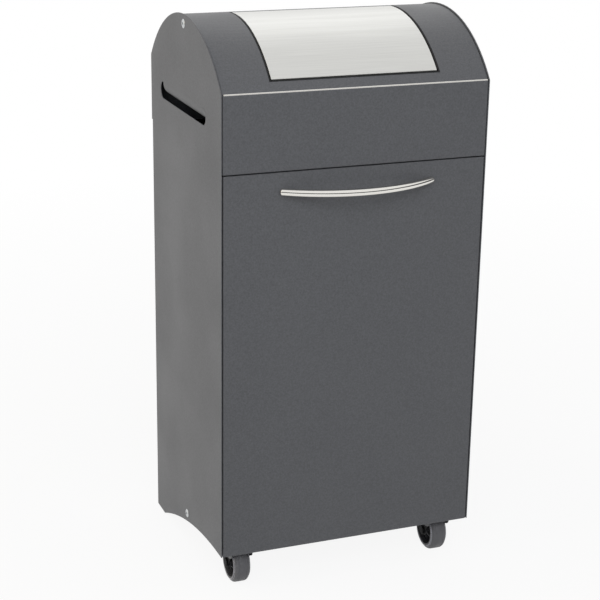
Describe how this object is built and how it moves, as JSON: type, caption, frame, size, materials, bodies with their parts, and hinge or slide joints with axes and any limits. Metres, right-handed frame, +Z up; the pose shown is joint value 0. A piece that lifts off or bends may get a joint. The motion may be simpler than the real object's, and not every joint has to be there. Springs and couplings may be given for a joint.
{
  "type": "recycling bin",
  "caption": "Sheet-steel recycling bin with an arched hood, a push flap, a tilting front door that carries a liner, side hand slots and front wheels.",
  "frame": {"origin": "on the floor under the middle of the bin's bounding box, with its handle and screw heads", "axes": "+X to the right of someone who faces the door, +Y to the back, +Z up"},
  "size_m": [0.3824, 0.36, 0.79],
  "materials": {
    "powder_coat": "satin anthracite powder coat",
    "brushed_stainless": "brushed",
    "polished_steel": "polished",
    "galvanised_steel": "hot-dip galvanised",
    "zinc_plated_steel": "zinc plated",
    "black_steel": "black phosphated",
    "black_plastic": "moulded",
    "grey_tyre": "moulded grey rubber",
    "rubber": "moulded"
  },
  "bodies": {
    "housing": {"left_side_panel": "powder_coat", "right_side_panel": "powder_coat", "hood": "powder_coat", "left_hood_rail": "powder_coat", "right_hood_rail": "powder_coat", "fascia": "powder_coat", "left_jamb": "powder_coat", "right_jamb": "powder_coat", "back_panel": "powder_coat", "base_pan": "powder_coat", "upper_cross_rod": "zinc_plated_steel", "lower_cross_rod": "zinc_plated_steel", "cross_rod_screws": "zinc_plated_steel", "back_rivets": "powder_coat", "foot_pads": "rubber", "door_hinge_pins": "zinc_plated_steel", "magnet_catch": "black_plastic", "left_wheel_cover": "powder_coat", "right_wheel_cover": "powder_coat", "left_wheel_fork": "black_steel", "right_wheel_fork": "black_steel", "wheel_axles": "black_steel", "left_flap_spring": "zinc_plated_steel", "right_flap_spring": "zinc_plated_steel", "spring_collars": "zinc_plated_steel"},
    "left_wheel": {"left_tyre": "grey_tyre", "left_hub": "black_plastic"},
    "right_wheel": {"right_tyre": "grey_tyre", "right_hub": "black_plastic"},
    "flap": {"flap_panel": "brushed_stainless", "flap_backing": "black_steel", "left_flap_arm": "galvanised_steel", "right_flap_arm": "galvanised_steel"},
    "door": {"door_panel": "powder_coat", "door_handle": "polished_steel", "handle_screws": "zinc_plated_steel", "left_hinge_plate": "zinc_plated_steel", "right_hinge_plate": "zinc_plated_steel", "left_cheek": "powder_coat", "right_cheek": "powder_coat", "liner_tray": "powder_coat"},
    "liner": {"liner": "galvanised_steel"},
    "bail": {"liner_bail": "galvanised_steel"}
  },
  "joints": [
    {"name": "left_wheel_spin", "type": "hinge", "parent": "housing", "child": "left_wheel", "pos_m": [-0.1535, -0.0978, 0.03], "axis": [1, 0, 0], "continuous": true},
    {"name": "right_wheel_spin", "type": "hinge", "parent": "housing", "child": "right_wheel", "pos_m": [0.1535, -0.0978, 0.03], "axis": [1, 0, 0], "continuous": true},
    {"name": "flap_push", "type": "hinge", "parent": "housing", "child": "flap", "pos_m": [0, 0.02, 0.777], "axis": [1, 0, 0], "range_deg": [0, 60], "stiffness_Nm_per_rad": 1.1, "springref_deg": -68.75},
    {"name": "door_tilt", "type": "hinge", "parent": "housing", "child": "door", "pos_m": [0, -0.128, 0.07], "axis": [1, 0, 0], "range_deg": [0, 35]},
    {"name": "liner_lift", "type": "slide", "parent": "door", "child": "liner", "axis": [0, 0, 1], "range_m": [0, 0.06]},
    {"name": "bail_swing", "type": "hinge", "parent": "liner", "child": "bail", "pos_m": [0, -0.011, 0.49773], "axis": [1, 0, 0], "range_deg": [0, 150]}
  ]
}
